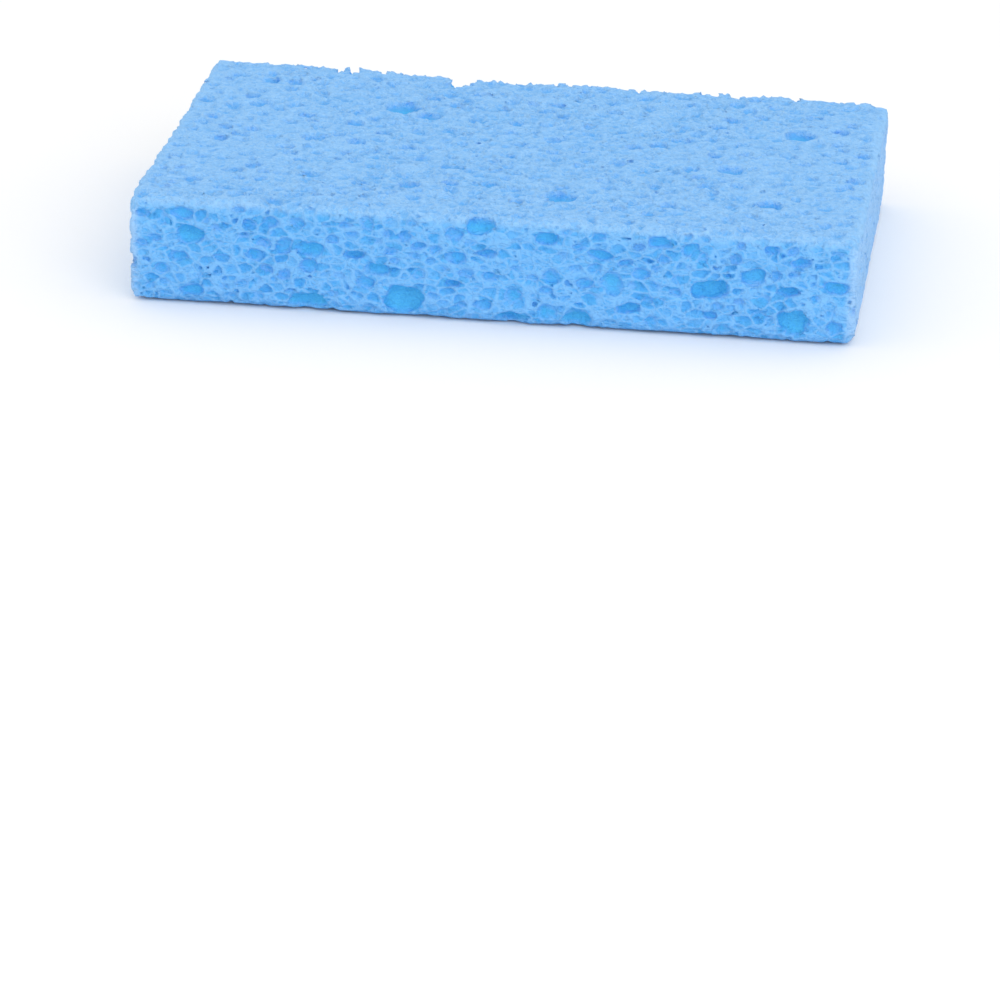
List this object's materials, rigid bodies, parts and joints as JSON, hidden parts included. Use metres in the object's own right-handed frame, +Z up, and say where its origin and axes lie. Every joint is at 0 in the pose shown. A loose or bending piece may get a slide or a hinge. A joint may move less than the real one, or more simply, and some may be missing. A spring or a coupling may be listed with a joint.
{
  "type": "cleaning sponge",
  "caption": "Flat rectangular cellulose sponge block with open pores on every face, softly rounded edges and one worn corner.",
  "frame": {"origin": "centre of the base, on the surface that the sponge lies on", "axes": "+X along the length, -Y out of the long side that faces the viewer, +Z up through the thickness"},
  "size_m": [0.12, 0.08, 0.018],
  "materials": {
    "sponge_foam": "matt open-celled cellulose foam, light blue, darker and more saturated inside the pores"
  },
  "bodies": {
    "root": {"sponge": "sponge_foam"}
  },
  "joints": []
}
